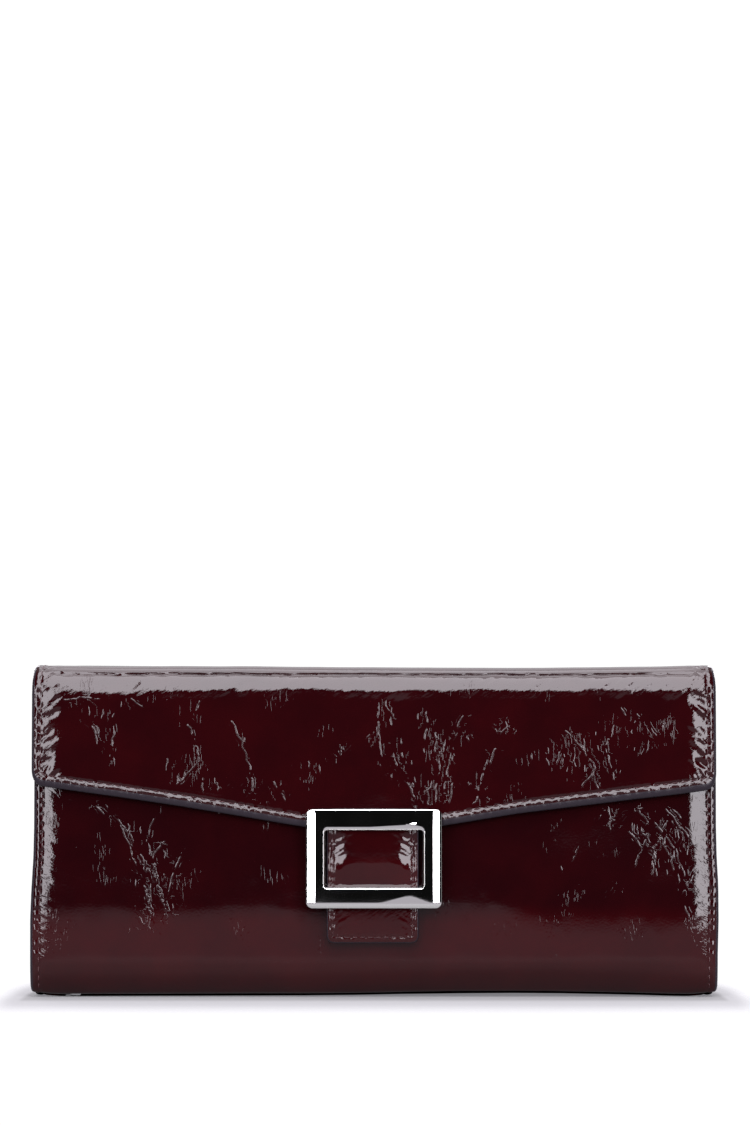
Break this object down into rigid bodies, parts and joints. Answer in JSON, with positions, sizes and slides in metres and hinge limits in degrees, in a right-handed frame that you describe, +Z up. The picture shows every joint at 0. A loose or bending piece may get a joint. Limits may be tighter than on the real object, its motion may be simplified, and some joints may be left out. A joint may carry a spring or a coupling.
{
  "type": "long flap wallet",
  "caption": "Long patent leather wallet that stands on its base, with a folding front flap, a strap tab with a frame buckle, and card, note and zipped coin pockets inside.",
  "frame": {"origin": "under the middle of the wallet, on the surface it stands on", "axes": "+X along the length, to the right as seen from the front; +Y towards the back, so the flap and buckle face -Y; +Z up"},
  "size_m": [0.195, 0.0318, 0.0945],
  "materials": {
    "patent_leather": "high-gloss crinkled patent, burgundy",
    "inner_leather": "satin, fine grain",
    "lining": "matt woven",
    "stiffener": "matt board",
    "buckle_metal": "polished dark nickel",
    "nickel": "polished nickel"
  },
  "bodies": {
    "back": {"back_cover": "patent_leather", "back_board": "stiffener", "back_lining": "lining", "back_card_slot_1": "inner_leather", "back_card_slot_2": "inner_leather", "back_card_slot_3": "inner_leather", "back_card_slot_4": "inner_leather", "rear_gusset_left": "inner_leather", "rear_gusset_right": "inner_leather"},
    "front": {"front_cover": "patent_leather", "front_board": "stiffener", "front_lining": "lining", "front_card_slot_1": "inner_leather", "front_card_slot_2": "inner_leather", "front_card_slot_3": "inner_leather", "front_card_slot_4": "inner_leather", "snap_stud": "nickel", "snap_stud_washer": "nickel"},
    "pocket": {"coin_pocket_shell": "inner_leather", "coin_pocket_lining": "lining", "zip_tape_front": "lining", "zip_tape_rear": "lining", "zip_teeth_front": "nickel", "zip_teeth_rear": "nickel", "zip_end_stops": "nickel", "front_gusset_left": "inner_leather", "front_gusset_right": "inner_leather"},
    "slider": {"zip_slider": "nickel"},
    "pull": {"zip_pull": "nickel"},
    "top_strip": {"top_strip_cover": "patent_leather", "top_strip_lining": "lining"},
    "flap": {"flap_cover": "patent_leather", "flap_board": "stiffener", "flap_lining": "lining", "tab_front": "patent_leather", "tab_back": "inner_leather", "buckle_frame": "buckle_metal", "buckle_rivets": "nickel", "buckle_washers": "nickel", "snap_socket": "nickel", "snap_cap": "nickel"}
  },
  "joints": [
    {"name": "rear_fold", "type": "hinge", "parent": "back", "child": "top_strip", "pos_m": [0, 0.01405, 0.0926], "axis": [-1, 0, 0], "range_deg": [0, 90]},
    {"name": "flap_fold", "type": "hinge", "parent": "top_strip", "child": "flap", "pos_m": [0, -0.00905, 0.0926], "axis": [-1, 0, 0], "range_deg": [0, 90]},
    {"name": "front_fan", "type": "hinge", "parent": "back", "child": "front", "pos_m": [0, -0.00425, 0], "axis": [1, 0, 0], "range_deg": [0, 18]},
    {"name": "pocket_fan", "type": "hinge", "parent": "back", "child": "pocket", "pos_m": [0, -0.00425, 0], "axis": [1, 0, 0], "range_deg": [0, 9]},
    {"name": "zip_slide", "type": "slide", "parent": "pocket", "child": "slider", "axis": [-1, 0, 0], "range_m": [0, 0.148]},
    {"name": "zip_pull_swing", "type": "hinge", "parent": "slider", "child": "pull", "pos_m": [0.074, 0.00385, 0.07755], "axis": [0, 1, 0], "range_deg": [0, 170]}
  ],
  "couplings": [
    {"joint": "flap_fold", "follows": "rear_fold", "ratio": 1},
    {"joint": "front_fan", "follows": "rear_fold", "ratio": 0.2},
    {"joint": "pocket_fan", "follows": "rear_fold", "ratio": 0.1}
  ]
}
